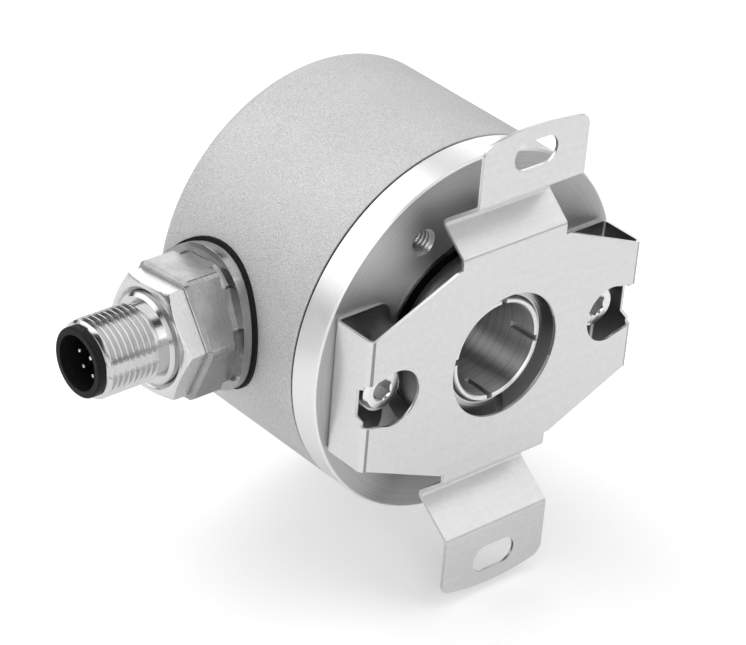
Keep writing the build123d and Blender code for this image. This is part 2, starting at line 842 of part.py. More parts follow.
# Cutter for the groove between the base's foot and its hexagon
with BuildPart() as base_groove:
    with BuildSketch(port_plane(port_boss_face)):
        Circle(base_foot_diameter / 2 + drill_past)
        Circle(base_groove_diameter / 2, mode=Mode.SUBTRACT)
    extrude(amount=base_front - port_boss_face)
    with BuildSketch(facing_front(0)):
        Circle(groove_top_r)
    extrude(amount=-body_length, mode=Mode.INTERSECT)
    with BuildSketch(facing_front(0)):
        Circle(foot_top_r)
    extrude(amount=-body_length, mode=Mode.SUBTRACT)

with BuildPart() as connector_base:
    with BuildSketch(port_plane(port_boss_face)):
        Circle(base_foot_diameter / 2)
    extrude(amount=base_front - port_boss_face)
    with BuildSketch(facing_front(0)):
        Circle(foot_top_r)
    extrude(amount=-body_length, mode=Mode.INTERSECT)
    # Hexagon with turned corners, standing on the foot
    with BuildSketch(port_plane(base_front)):
        RegularPolygon(base_across_flats / 2, 6, major_radius=False, rotation=hex_turn)
        Circle(base_corner_diameter / 2, mode=Mode.INTERSECT)
    extrude(amount=port_boss_face - base_front)
    front_edges = connector_base.edges().group_by(Axis.X)[0]
    chamfer(front_edges, base_rim_break)
    add(base_groove.part, mode=Mode.SUBTRACT)
    with BuildSketch(facing_front(0)):
        Circle(gasket_top_r)
    extrude(amount=-body_length, mode=Mode.SUBTRACT)
    # Spigot through the gasket into the housing's boss, and the bore for shell and wires
    with BuildSketch(port_plane(spigot_inner)):
        Circle(port_spigot_diameter / 2)
    extrude(amount=shell_rear - spigot_inner)
    with Locations(port_plane(base_front)):
        CounterBoreHole(
            radius=port_wire_bore / 2,
            counter_bore_radius=shell_collar_diameter / 2 + running_fit,
            counter_bore_depth=shell_seat_depth,
            depth=base_front - port_boss_face,
        )
connector_base.part.label = "connector_base"
export_step(connector_base.part, "parts/connector_base.step")

# Nut on the connector's collar, its corners turned off and its bore opened in front
nut_front = base_front + nut_height
nut_corner_r = nut_across_flats / sqrt(3)
nut_face_r = nut_across_flats / 2 - nut_corner_break / 2
with BuildPart() as connector_nut:
    with BuildSketch(port_plane(base_front)):
        RegularPolygon(nut_across_flats / 2, 6, major_radius=False, rotation=hex_turn)
    extrude(amount=nut_height)
    with BuildSketch(port_profile):
        with BuildLine():
            Polyline(
                (base_front, shell_collar_diameter / 2 + running_fit),
                (base_front, nut_corner_r + seat_fit),
                (nut_front - (nut_corner_r - nut_face_r) / 2, nut_corner_r + seat_fit),
                (nut_front, nut_face_r),
                (nut_front, shell_collar_diameter / 2 + nut_sink),
                (nut_front - nut_sink, shell_collar_diameter / 2 + running_fit),
                close=True,
            )
        make_face()
    revolve(axis=port_axis, mode=Mode.INTERSECT)
connector_nut.part.label = "connector_nut"
export_step(connector_nut.part, "parts/connector_nut.step")

# Threaded shell with its collar, undercut and the key slot milled along the thread
with BuildPart() as connector_shell:
    with BuildSketch(port_profile):
        with BuildLine():
            Polyline(
                (shell_rear, shell_bore / 2),
                (shell_rear, shell_collar_diameter / 2),
                (shell_collar_front - thread_chamfer, shell_collar_diameter / 2),
                (shell_collar_front, shell_collar_diameter / 2 - thread_chamfer),
                (shell_collar_front, undercut_diameter / 2),
                (thread_start, undercut_diameter / 2),
                (thread_start, thread_diameter / 2),
                (thread_end - thread_chamfer, thread_diameter / 2),
                (thread_end, thread_diameter / 2 - thread_chamfer),
                (thread_end, shell_bore / 2),
                close=True,
            )
        make_face()
    revolve(axis=port_axis)
    with BuildSketch(port_plane(thread_start)):
        with PolarLocations(thread_diameter / 2, 1, start_angle=key_slot_angle):
            Rectangle(thread_diameter - 2 * key_slot_floor, key_slot_width)
    extrude(amount=thread_length, mode=Mode.SUBTRACT)
connector_shell.part.label = "connector_shell"
export_step(connector_shell.part, "parts/connector_shell.step")

# Moulded insert: a cup with a key rib, whose floor carries the pins
with BuildPart() as connector_insert:
    with BuildSketch(port_profile):
        with BuildLine():
            Polyline(
                (shell_rear, 0),
                (shell_rear, insert_r),
                (thread_end, insert_r),
                (thread_end, insert_ring_diameter / 2),
                (insert_tip - insert_edge_break, insert_ring_diameter / 2),
                (insert_tip, insert_ring_diameter / 2 - insert_edge_break),
                (insert_tip, insert_cup_r),
                (insert_cup_floor, insert_cup_r),
                (insert_cup_floor, 0),
                close=True,
            )
        make_face()
    revolve(axis=port_axis)
    with BuildSketch(port_plane(insert_cup_floor)):
        with PolarLocations(insert_cup_r, 1, start_angle=key_rib_angle):
            Rectangle(2 * key_rib_height, key_rib_width)
    extrude(amount=insert_cup_depth - pin_tip_depth)
    with BuildSketch(port_plane(insert_cup_floor)):
        Circle(pin_diameter / 2 + seat_fit)
        with PolarLocations(pin_circle / 2, pin_count, start_angle=pin_start_angle):
            Circle(pin_diameter / 2 + seat_fit)
    extrude(amount=shell_rear - insert_cup_floor, mode=Mode.SUBTRACT)
connector_insert.part.label = "connector_insert"
export_step(connector_insert.part, "parts/connector_insert.step")

with BuildPart() as connector_pins:
    with BuildSketch(port_plane(pin_rear)):
        Circle(pin_diameter / 2)
        with PolarLocations(pin_circle / 2, pin_count, start_angle=pin_start_angle):
            Circle(pin_diameter / 2)
    extrude(amount=pin_tip - pin_rear)
connector_pins.part.label = "connector_pins"
export_step(connector_pins.part, "parts/connector_pins.step")

# Flat lead from the pins' tails through the wall to the flat edge of the board
lead_plane_x = board_flat - lead_thickness
with BuildPart() as connector_lead:
    with BuildSketch(port_plane(pin_rear - lead_thickness)):
        Circle(port_wire_bore / 2 - lead_thickness)
    extrude(amount=lead_thickness)
    with BuildSketch(Plane.XY):
        with BuildLine():
            FilletPolyline(
                (-pin_rear + lead_thickness, port_axis_y),
                (-lead_plane_x, port_axis_y),
                (-lead_plane_x, board_front),
                radius=lead_bend,
            )
        trace(line_width=lead_thickness)
    extrude(amount=lead_width / 2, both=True)
connector_lead.part.label = "connector_lead"
export_step(connector_lead.part, "parts/connector_lead.step")
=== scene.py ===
from math import cos, hypot, pi, radians, sin, sqrt, tau

import bpy
from mathutils import Matrix, Vector


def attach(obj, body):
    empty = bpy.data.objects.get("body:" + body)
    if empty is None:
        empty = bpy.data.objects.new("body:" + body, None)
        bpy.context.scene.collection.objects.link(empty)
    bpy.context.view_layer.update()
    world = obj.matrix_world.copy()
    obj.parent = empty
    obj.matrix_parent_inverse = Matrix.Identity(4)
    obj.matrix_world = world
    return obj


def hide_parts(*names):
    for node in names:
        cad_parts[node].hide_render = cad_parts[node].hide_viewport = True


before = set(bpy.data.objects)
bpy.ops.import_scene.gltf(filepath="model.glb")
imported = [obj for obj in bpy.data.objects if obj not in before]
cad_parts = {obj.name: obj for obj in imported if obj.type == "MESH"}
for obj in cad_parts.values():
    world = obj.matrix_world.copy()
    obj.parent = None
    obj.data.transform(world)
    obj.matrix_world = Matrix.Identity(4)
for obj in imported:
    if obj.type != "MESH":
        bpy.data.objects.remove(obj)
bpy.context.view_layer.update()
mm = 0.001
weld = 1e-6  # points nearer than this, in metres, become one
cutSlack = 1e-7  # how near to a cutting plane a point counts as on it
flatBend = 0.05  # faces that meet at less than this, in degrees, become one
portY = 24.5  # the connector's axis, behind the flange's front face
shaftLine = {"centre": Vector((0, 0, 0)), "axis": Vector((0, 1, 0))}
portLine = {"centre": Vector((0, portY, 0)) * mm, "axis": Vector((-1, 0, 0))}
print("frame loaded:", len(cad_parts), "nodes")


# Hand tools

def clearSelection():
    bpy.ops.object.select_all(action="DESELECT")


def makeActive(piece):
    clearSelection()
    piece.select_set(True)
    bpy.context.view_layer.objects.active = piece


def nameIt(piece, name):
    piece.name = name
    piece.data.name = name


def onShaft(radius, station):
    return Vector((radius, station, 0)) * mm


def onPort(distance, radius):
    return Vector((-distance, portY + radius, 0)) * mm


def aroundPort(distance, radius, angle):
    # the angle runs from -Y towards +Z
    return Vector((-distance, portY - radius * cos(radians(angle)), radius * sin(radians(angle)))) * mm


def drawOutline(name, corners, closed=True):
    clearSelection()
    bpy.ops.mesh.primitive_plane_add(size=mm)
    piece = bpy.context.active_object
    nameIt(piece, name)
    bpy.ops.object.mode_set(mode="EDIT")
    bpy.ops.mesh.select_all(action="SELECT")
    bpy.ops.mesh.merge(type="CENTER")
    bpy.ops.transform.translate(value=corners[0])
    path = corners + corners[:1] if closed else corners
    for here, there in zip(path, path[1:]):
        bpy.ops.mesh.extrude_region_move(TRANSFORM_OT_translate={"value": there - here})
    bpy.ops.mesh.select_all(action="SELECT")
    bpy.ops.mesh.remove_doubles(threshold=weld)
    return piece


def cleanFaces():
    bpy.ops.mesh.select_all(action="SELECT")
    bpy.ops.mesh.remove_doubles(threshold=weld)
    bpy.ops.mesh.normals_make_consistent(inside=False)


def turnPiece(name, corners, line, steps):
    # an outline drawn point by point, then spun once round its line
    piece = drawOutline(name, corners)
    bpy.ops.mesh.select_all(action="SELECT")
    bpy.ops.mesh.spin(steps=steps, angle=tau, center=line["centre"], axis=line["axis"])
    cleanFaces()
    bpy.ops.object.mode_set(mode="OBJECT")
    return piece


def barPiece(name, centre, size, turn, about):
    # a cutting bar: its size runs along X, Y and Z before it is turned
    clearSelection()
    bpy.ops.mesh.primitive_cube_add(size=1)
    piece = bpy.context.active_object
    nameIt(piece, name)
    piece.data.transform(Matrix.Diagonal((*(Vector(size) * mm), 1)))
    piece.data.transform(Matrix.Rotation(radians(turn), 4, about))
    piece.data.transform(Matrix.Translation(centre))
    return piece


def rodPiece(name, start, end, radius, sides):
    # a round bar or, with few sides, a prism between two points
    clearSelection()
    bpy.ops.mesh.primitive_cylinder_add(vertices=sides, radius=radius * mm, depth=(end - start).length)
    piece = bpy.context.active_object
    nameIt(piece, name)
    piece.data.transform((end - start).to_track_quat("Z", "Y").to_matrix().to_4x4())
    piece.data.transform(Matrix.Translation((start + end) / 2))
    return piece


def shapeBy(piece, other, operation):
    makeActive(piece)
    step = piece.modifiers.new(operation.lower(), "BOOLEAN")
    step.operation = operation
    step.solver = "EXACT"
    step.object = other
    bpy.ops.object.modifier_apply(modifier=step.name)
    bpy.data.objects.remove(other)


def cutAway(piece, *cutters):
    for cutter in cutters:
        shapeBy(piece, cutter, "DIFFERENCE")


def finishEdges(piece, width, segments=2, bend=30, smooth=50):
    # small bevels catch the light, and only faces that meet gently are shaded as one
    makeActive(piece)
    bpy.ops.object.mode_set(mode="EDIT")
    bpy.ops.mesh.select_all(action="SELECT")
    bpy.ops.mesh.remove_doubles(threshold=weld)
    bpy.ops.mesh.dissolve_limited(angle_limit=radians(flatBend))
    bpy.ops.object.mode_set(mode="OBJECT")
    if width:
        soft = piece.modifiers.new("soft edges", "BEVEL")
        soft.width = width * mm
        soft.segments = segments
        soft.limit_method = "ANGLE"
        soft.angle_limit = radians(bend)
        soft.miter_outer = "MITER_ARC"
        soft.use_clamp_overlap = True
        bpy.ops.object.modifier_apply(modifier=soft.name)
    bpy.ops.object.shade_smooth_by_angle(angle=radians(smooth))
    even = piece.modifiers.new("even shading", "WEIGHTED_NORMAL")
    even.keep_sharp = True
    bpy.ops.object.modifier_apply(modifier=even.name)
    return piece


def dressedCopy(node, name, width, **edges):
    # the node's own mesh, merged, with its edges softened
    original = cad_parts[node]
    piece = original.copy()
    piece.data = original.data.copy()
    bpy.context.collection.objects.link(piece)
    place = original.matrix_world.copy()
    piece.parent = None
    piece.matrix_world = place
    nameIt(piece, name)
    makeActive(piece)
    if piece.data.has_custom_normals:
        bpy.ops.mesh.customdata_custom_splitnormals_clear()
    return finishEdges(piece, width, **edges)


# one pitch of thread: heights in pitches, and a start a little off the turn, clear of the square cuts
threadForm = {"outline": (("root", 0), ("root", 0.125), ("crest", 0.4375), ("crest", 0.5625),
                          ("root", 0.875), ("root", 1)), "start": -2.013, "spareTurns": 5}


def threadRod(name, values):
    # a solid threaded rod from the origin up Z: one pitch of outline, screwed up and cut off square
    pitch = values["pitch"]
    corners = [Vector((values[part], 0, (height + threadForm["start"]) * pitch)) * mm
               for part, height in threadForm["outline"]]
    piece = drawOutline(name, corners, closed=False)
    bpy.ops.object.mode_set(mode="OBJECT")
    turn = piece.modifiers.new("thread", "SCREW")
    turn.axis = "Z"
    turn.angle = tau
    turn.screw_offset = pitch * mm
    turn.iterations = int(values["length"] / pitch) + threadForm["spareTurns"]
    turn.steps = turn.render_steps = values["steps"]
    turn.use_merge_vertices = True
    turn.merge_threshold = weld
    bpy.ops.object.modifier_apply(modifier=turn.name)
    bpy.ops.object.mode_set(mode="EDIT")
    bpy.ops.mesh.select_all(action="SELECT")
    bpy.ops.mesh.remove_doubles(threshold=weld)
    bpy.ops.mesh.bisect(plane_co=(0, 0, 0), plane_no=(0, 0, 1), use_fill=True, clear_inner=True,
                        threshold=cutSlack)
    bpy.ops.mesh.select_all(action="SELECT")
    bpy.ops.mesh.bisect(plane_co=(0, 0, values["length"] * mm), plane_no=(0, 0, 1), use_fill=True,
                        clear_outer=True, threshold=cutSlack)
    cleanFaces()
    bpy.ops.object.mode_set(mode="OBJECT")
    return piece


def layAlong(piece, start, direction):
    piece.data.transform(direction.to_track_quat("Z", "Y").to_matrix().to_4x4())
    piece.data.transform(Matrix.Translation(start))


# Shared effects, each one a group

def newEffect(name, scale, depth):
    group = bpy.data.node_groups.new(name, "ShaderNodeTree")
    inputs = (("Vector", "Vector", None), ("Scale", "Float", scale), ("Depth", "Float", depth))
    for label, kind, value in inputs:
        made = group.interface.new_socket(label, in_out="INPUT", socket_type="NodeSocket" + kind)
        if value is not None:
            made.default_value = value
    for label, kind in (("Value", "Float"), ("Normal", "Vector")):
        group.interface.new_socket(label, in_out="OUTPUT", socket_type="NodeSocket" + kind)
    return group, group.nodes.new("NodeGroupInput")


def addNode(tree, kind, values=None, **settings):
    node = tree.nodes.new("ShaderNode" + kind)
    for key, value in settings.items():
        setattr(node, key, value)
    for key, value in (values or {}).items():
        node.inputs[key].default_value = value
    return node


def finishEffect(group, given, place, noise, span, relief):
    # the noise at that place, spread over its span, gives the value and a slight relief
    link = group.links.new
    link(place, noise.inputs["Vector"])
    link(given.outputs["Scale"], noise.inputs["Scale"])
    spread = addNode(group, "MapRange", {"From Min": span[0], "From Max": span[1]})
    link(noise.outputs["Fac"], spread.inputs["Value"])
    bump = addNode(group, "Bump", {"Distance": relief})
    link(given.outputs["Depth"], bump.inputs["Strength"])
    link(spread.outputs["Result"], bump.inputs["Height"])
    result = group.nodes.new("NodeGroupOutput")
    link(spread.outputs["Result"], result.inputs["Value"])
    link(bump.outputs["Normal"], result.inputs["Normal"])
    return group


def makeFineGrain():
    # speckle of a cast or blasted skin
    group, given = newEffect("fineGrain", scale=4000.0, depth=0.2)
    noise = addNode(group, "TexNoise", {"Detail": 3.0, "Roughness": 0.6})
    return finishEffect(group, given, given.outputs["Vector"], noise, span=(0.3, 0.7), relief=0.00004)


def makeTurnedLines():
    # rings left by a lathe about Y: the pattern knows only the radius and the station
    group, given = newEffect("turnedLines", scale=6000.0, depth=0.2)
    link = group.links.new
    split = addNode(group, "SeparateXYZ")
    link(given.outputs["Vector"], split.inputs[0])
    flat = addNode(group, "CombineXYZ")
    link(split.outputs["X"], flat.inputs["X"])
    link(split.outputs["Z"], flat.inputs["Y"])
    radius = addNode(group, "VectorMath", operation="LENGTH")
    link(flat.outputs[0], radius.inputs[0])
    ring = addNode(group, "CombineXYZ")
    link(radius.outputs["Value"], ring.inputs["X"])
    link(split.outputs["Y"], ring.inputs["Y"])
    noise = addNode(group, "TexNoise", {"Detail": 2.0, "Roughness": 0.7}, noise_dimensions="2D")
    return finishEffect(group, given, ring.outputs[0], noise, span=(0.25, 0.75), relief=0.00003)


def makeRolledStreaks():
    # long faint streaks of rolled or drawn metal, along the first axis of Vector
    group, given = newEffect("rolledStreaks", scale=3000.0, depth=0.1)
    squeeze = addNode(group, "VectorMath", {1: (0.03, 1, 1)}, operation="MULTIPLY")
    group.links.new(given.outputs["Vector"], squeeze.inputs[0])
    noise = addNode(group, "TexNoise", {"Detail": 3.0, "Roughness": 0.6})
    return finishEffect(group, given, squeeze.outputs[0], noise, span=(0.3, 0.7), relief=0.00002)


groups = {"fineGrain": makeFineGrain(), "turnedLines": makeTurnedLines(),
          "rolledStreaks": makeRolledStreaks()}
print("shared effects ready")


# Finishes

def makeFinish(name, values):
    # one metal, rubber or plastic: an effect group drives a small change of colour and roughness
    material = bpy.data.materials.new(name)
    material.use_nodes = True
    tree = material.node_tree
    link = tree.links.new
    shader = tree.nodes["Principled BSDF"]
    shader.inputs["Metallic"].default_value = values.get("metallic", 1.0)
    if "specular" in values:
        shader.inputs["Specular IOR Level"].default_value = values["specular"]
    where = addNode(tree, "TexCoord")
    centre = addNode(tree, "Mapping", {"Location": values.get("move", (0, 0, 0)),
                                       "Rotation": values.get("turn", (0, 0, 0))})
    link(where.outputs["Object"], centre.inputs["Vector"])
    effect = tree.nodes.new("ShaderNodeGroup")
    effect.node_tree = groups[values["effect"]]
    effect.inputs["Scale"].default_value = values["scale"]
    effect.inputs["Depth"].default_value = values["depth"]
    link(centre.outputs["Vector"], effect.inputs["Vector"])
    patches = addNode(tree, "TexNoise", {"Scale": values.get("patchScale", 120.0), "Detail": 4.0})
    link(where.outputs["Object"], patches.inputs["Vector"])
    blend = addNode(tree, "Mix", {"Factor": values.get("patches", 0.3)})
    link(effect.outputs["Value"], blend.inputs[2])
    link(patches.outputs["Fac"], blend.inputs[3])
    tint = addNode(tree, "Mix", data_type="RGBA")
    tint.inputs[6].default_value = (*values["dark"], 1)
    tint.inputs[7].default_value = (*values["light"], 1)
    link(blend.outputs[0], tint.inputs[0])
    link(tint.outputs[2], shader.inputs["Base Color"])
    gloss = addNode(tree, "MapRange", {"To Min": values["rough"][0], "To Max": values["rough"][1]})
    link(blend.outputs[0], gloss.inputs["Value"])
    link(gloss.outputs["Result"], shader.inputs["Roughness"])
    link(effect.outputs["Normal"], shader.inputs["Normal"])
    if "anisotropic" in values:
        # a quarter turn from the rings' own way: light spreads across the lathe's rings
        shader.inputs["Anisotropic"].default_value = values["anisotropic"]
        shader.inputs["Anisotropic Rotation"].default_value = 0.25
        ringWay = addNode(tree, "Tangent", direction_type="RADIAL", axis="Y")
        link(ringWay.outputs[0], shader.inputs["Tangent"])
    return material


def grey(level):
    return (level, level, level)


# the lathe pattern turns about Y, so the connector's copy is laid along X through its own axis
portMapping = {"move": (portY * mm, 0, 0), "turn": (0, 0, radians(90))}

finishes = {
    "castAluminium": {
        "effect": "fineGrain", "scale": 6000.0, "depth": 0.9, "dark": grey(0.37), "light": grey(0.84),
        "rough": (0.55, 0.45), "patches": 0.15, "metallic": 0.4},
    "turnedFlange": {
        "effect": "turnedLines", "scale": 5000.0, "depth": 0.9, "dark": grey(0.48), "light": grey(0.7),
        "rough": (0.44, 0.36), "patches": 0.15, "anisotropic": 0.95},
    # a lighter, less metallic copy of the turned metal: painted highlight on the flange's rim and the shaft's
    # mouth
    "rimPaintedHighlight": {
        "effect": "turnedLines", "scale": 5000.0, "depth": 0.3, "dark": grey(0.84), "light": grey(0.95),
        "rough": (0.38, 0.3), "patches": 0.2, "metallic": 0.7},
    "springSheet": {
        "effect": "rolledStreaks", "scale": 2500.0, "depth": 0.03, "dark": grey(0.7), "light": grey(0.84),
        "rough": (0.34, 0.27), "patches": 0.8, "patchScale": 1100.0},
    # the same sheet much darker, for its inner faces: painted shade
    "sheetInsidePaintedShade": {
        "effect": "rolledStreaks", "scale": 2500.0, "depth": 0.1, "dark": grey(0.26), "light": grey(0.34),
        "rough": (0.34, 0.26), "patches": 0.5},
    # a dark line on the wing bends: painted reflection
    "bendPaintedReflection": {
        "effect": "rolledStreaks", "scale": 2500.0, "depth": 0.1, "dark": grey(0.24), "light": grey(0.36),
        "rough": (0.34, 0.26), "patches": 0.5},
    "turnedSteel": {
        "effect": "turnedLines", "scale": 7000.0, "depth": 0.35, "dark": grey(0.52), "light": grey(0.7),
        "rough": (0.28, 0.2), "patches": 0.3, "anisotropic": 0.3},
    # the shaft's steel set darker than the ring's: painted shade in the bore
    "boreSteelPaintedShade": {
        "effect": "turnedLines", "scale": 4500.0, "depth": 0.5, "dark": grey(0.32), "light": grey(0.62),
        "rough": (0.5, 0.42), "patches": 0.1, "anisotropic": 1.0},
    "brightScrew": {
        "effect": "fineGrain", "scale": 1500.0, "depth": 0.25, "dark": grey(0.84), "light": grey(0.95),
        "rough": (0.22, 0.14), "patches": 0.5},
    # the base's nickel set far darker than the nut's and mottled: painted shade and painted reflections
    "nickelPaintedShade": {
        "effect": "turnedLines", "scale": 4000.0, "depth": 0.12, "dark": grey(0.22), "light": grey(0.52),
        "rough": (0.22, 0.15), "patches": 0.7, "patchScale": 300.0, **portMapping},
    # the shell's nickel a little darker than the nut's: painted shade
    "threadNickelPaintedShade": {
        "effect": "turnedLines", "scale": 4000.0, "depth": 0.12, "dark": grey(0.6), "light": grey(0.76),
        "rough": (0.22, 0.14), "patches": 0.4, **portMapping},
    "satinNickel": {
        "effect": "turnedLines", "scale": 4000.0, "depth": 0.12, "dark": grey(0.68), "light": grey(0.82),
        "rough": (0.3, 0.22), "patches": 0.4, **portMapping},
    "blackRubber": {
        "effect": "fineGrain", "scale": 2500.0, "depth": 0.3, "dark": grey(0.006), "light": grey(0.018),
        "rough": (0.7, 0.5), "metallic": 0.0, "specular": 0.08},
    "insertPlastic": {
        "effect": "fineGrain", "scale": 2000.0, "depth": 0.2, "dark": grey(0.004), "light": grey(0.012),
        "rough": (0.5, 0.4), "metallic": 0.0, "specular": 0.15},
    "contactMetal": {
        "effect": "turnedLines", "scale": 3000.0, "depth": 0.1, "dark": grey(0.75), "light": grey(0.9),
        "rough": (0.25, 0.15), **portMapping},
    "hiddenSteel": {
        "effect": "turnedLines", "scale": 5000.0, "depth": 0.2, "dark": grey(0.5), "light": grey(0.62),
        "rough": (0.3, 0.2)},
    "cagePlastic": {
        "effect": "fineGrain", "scale": 2000.0, "depth": 0.2, "dark": (0.5, 0.48, 0.4),
        "light": (0.62, 0.6, 0.52), "rough": (0.6, 0.45), "metallic": 0.0},
    "codedGlass": {
        "effect": "turnedLines", "scale": 1500.0, "depth": 0.02, "dark": grey(0.3), "light": grey(0.8),
        "rough": (0.12, 0.05), "metallic": 0.0},
    "boardLaminate": {
        "effect": "rolledStreaks", "scale": 2500.0, "depth": 0.2, "dark": (0.01, 0.07, 0.03),
        "light": (0.02, 0.12, 0.05), "rough": (0.4, 0.25), "metallic": 0.0},
    "chipPlastic": {
        "effect": "fineGrain", "scale": 4000.0, "depth": 0.2, "dark": grey(0.012), "light": grey(0.03),
        "rough": (0.6, 0.45), "metallic": 0.0},
    "filmLead": {
        "effect": "rolledStreaks", "scale": 3000.0, "depth": 0.2, "dark": (0.2, 0.09, 0.015),
        "light": (0.32, 0.15, 0.03), "rough": (0.4, 0.3), "metallic": 0.0},
}
materials = {name: makeFinish(name, values) for name, values in finishes.items()}
print("finishes ready:", len(materials))


def dress(piece, material, body, node=None):
    piece.data.materials.clear()
    piece.data.materials.append(materials[material])
    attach(piece, body)
    if node:
        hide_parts(node)


def paintSome(piece, material, isThere):
    # one more material, a lighter or darker copy that paints light or shade, on the faces that the test picks
    # by their centre in millimetres and their normal
    piece.data.materials.append(materials[material])
    for face in piece.data.polygons:
        if isThere(face.center / mm, face.normal):
            face.material_index = len(piece.data.materials) - 1


# Housing: a deep cup with a rounded rear edge, opened for the connector
housing = {"radius": 29.0, "wall": 2.5, "front": 5.45, "rear": 37.0, "rearWall": 2.5, "rearRound": 1.2,
           "frontBreak": 0.12, "roundSteps": 8, "bossRadius": 9.5, "bossFace": 24.5, "bossSink": 0.35,
           "portRadius": 7.05, "portSpare": 3.0}


def makeHousing(v):
    inner = v["radius"] - v["wall"]
    corners = [onShaft(0, v["rear"] - v["rearWall"]), onShaft(inner, v["rear"] - v["rearWall"]),
               onShaft(inner, v["front"]), onShaft(v["radius"] - v["frontBreak"], v["front"]),
               onShaft(v["radius"], v["front"] + v["frontBreak"])]
    for step in range(v["roundSteps"] + 1):
        turn = step / v["roundSteps"] * pi / 2
        corners.append(onShaft(v["radius"] - v["rearRound"] * (1 - cos(turn)),
                               v["rear"] - v["rearRound"] * (1 - sin(turn))))
    corners.append(onShaft(0, v["rear"]))
    piece = turnPiece("housingShell", corners, shaftLine, steps=240)
    boss = rodPiece("boss", onPort(v["bossFace"], 0), onPort(inner + v["bossSink"], 0), v["bossRadius"],
                    sides=96)
    shapeBy(piece, boss, "UNION")
    cutAway(piece, rodPiece("portCut", onPort(v["bossFace"] - v["portSpare"], 0),
                            onPort(v["radius"] + v["portSpare"], 0), v["portRadius"], sides=96))
    return finishEdges(piece, width=0, smooth=40)


dress(makeHousing(housing), "castAluminium", "stator", "rear_housing")
print("housing made")


# Flange: turned disc with a recess, a bearing hub behind it and six threaded holes
flange = {"radius": 29.0, "rim": 5.1, "edge": 0.3, "recess": 16.2, "recessDepth": 1.8, "recessEdge": 0.15,
          "sealSeat": 13.6, "sealRear": 4.4, "web": 12.4, "shelf": 5.0, "bearing": 16.0, "hub": 18.6,
          "hubRear": 23.9, "spigot": 26.45, "thickness": 8.0, "groove": 16.7, "grooveFront": 21.6,
          "grooveRear": 22.6, "boltCircle": 21.0, "holeDepth": 6.8, "core": 1.65, "mouth": 2.0, "pitch": 0.7,
          "spare": 1.0, "sinkWider": 0.3, "sinkLift": 0.15}
freeHoles = (60, 120, 240, 300)  # these show their thread, and the coupling's screws fill the other two


def sinkCone(mouth, radius, lift):
    # as deep as its radius, and standing a little before the face
    clearSelection()
    bpy.ops.mesh.primitive_cone_add(vertices=48, radius1=radius * mm, radius2=0, depth=radius * mm)
    cone = bpy.context.active_object
    cone.data.transform(Matrix.Rotation(radians(-90), 4, "X"))
    cone.data.transform(Matrix.Translation(mouth + onShaft(0, radius / 2 - lift)))
    return cone


def makeFlange(v):
    corners = [onShaft(v["web"], v["sealRear"]), onShaft(v["sealSeat"], v["sealRear"]),
               onShaft(v["sealSeat"], v["recessDepth"]), onShaft(v["recess"], v["recessDepth"]),
               onShaft(v["recess"], v["recessEdge"]), onShaft(v["recess"] + v["recessEdge"], 0),
               onShaft(v["radius"] - v["edge"], 0), onShaft(v["radius"], v["edge"]),
               onShaft(v["radius"], v["rim"] - v["recessEdge"]),
               onShaft(v["radius"] - v["recessEdge"], v["rim"]),
               onShaft(v["spigot"], v["rim"]), onShaft(v["spigot"], v["thickness"]),
               onShaft(v["hub"], v["thickness"]), onShaft(v["hub"], v["hubRear"]),
               onShaft(v["bearing"], v["hubRear"]), onShaft(v["bearing"], v["grooveRear"]),
               onShaft(v["groove"], v["grooveRear"]), onShaft(v["groove"], v["grooveFront"]),
               onShaft(v["bearing"], v["grooveFront"]), onShaft(v["bearing"], v["shelf"]),
               onShaft(v["web"], v["shelf"])]
    piece = turnPiece("flangeDisc", corners, shaftLine, steps=240)
    thread = {"crest": v["mouth"], "root": v["core"], "pitch": v["pitch"],
              "length": v["holeDepth"] + v["spare"], "steps": 32}
    for angle in range(0, 360, 60):
        turn = radians(angle)
        mouth = Vector((v["boltCircle"] * cos(turn), 0, v["boltCircle"] * sin(turn))) * mm
        before = mouth - onShaft(0, v["spare"])
        if angle in freeHoles:
            cutter = threadRod("threadCut", thread)
            layAlong(cutter, before, Vector((0, 1, 0)))
        else:
            cutter = rodPiece("coreCut", before, mouth + onShaft(0, v["holeDepth"]), v["core"], sides=32)
        cutAway(piece, cutter)
        cutAway(piece, sinkCone(mouth, v["mouth"] + v["sinkWider"], v["sinkLift"]))
    return finishEdges(piece, width=0, smooth=35)


flangeDisc = makeFlange(flange)
dress(flangeDisc, "turnedFlange", "stator", "front_flange")
# the rim and its front edge get the lighter copy: painted highlight
paintSome(flangeDisc, "rimPaintedHighlight", lambda place, way: (
    place.y < flange["rim"] and hypot(place.x, place.z) > flange["radius"] - flange["edge"]))
print("flange made")


# Stator coupling: the folded sheet, its cut edges softened
coupling = {"plateBack": -7.6, "footFront": -0.5, "slack": 0.05, "square": 0.95, "paintedBendStart": -0.99,
            "paintedBendEnd": -0.85}


def isInside(place, way):
    # back of the plate, inner walls of the wings, and the feet's front: these faces get a dark copy of the
    # sheet, painted shade
    v = coupling
    if way.y > v["square"]:
        return abs(place.y - v["plateBack"]) < v["slack"]
    if way.y < -v["square"]:
        return abs(place.y - v["footFront"]) < v["slack"]
    return abs(way.x) > v["square"] and way.x * place.x < 0


couplingSheet = dressedCopy("stator_coupling", "couplingSheet", width=0.07, bend=40, smooth=40)
dress(couplingSheet, "springSheet", "stator", "stator_coupling")
# the inner faces get the dark copy of the sheet: painted shade
paintSome(couplingSheet, "sheetInsidePaintedShade", isInside)
# faces of the wing bends get a dark copy of the sheet: painted reflection
paintSome(couplingSheet, "bendPaintedReflection", lambda place, way: (
    coupling["paintedBendStart"] < way.y < coupling["paintedBendEnd"] and abs(way.z) < coupling["slack"]))
print("coupling made")


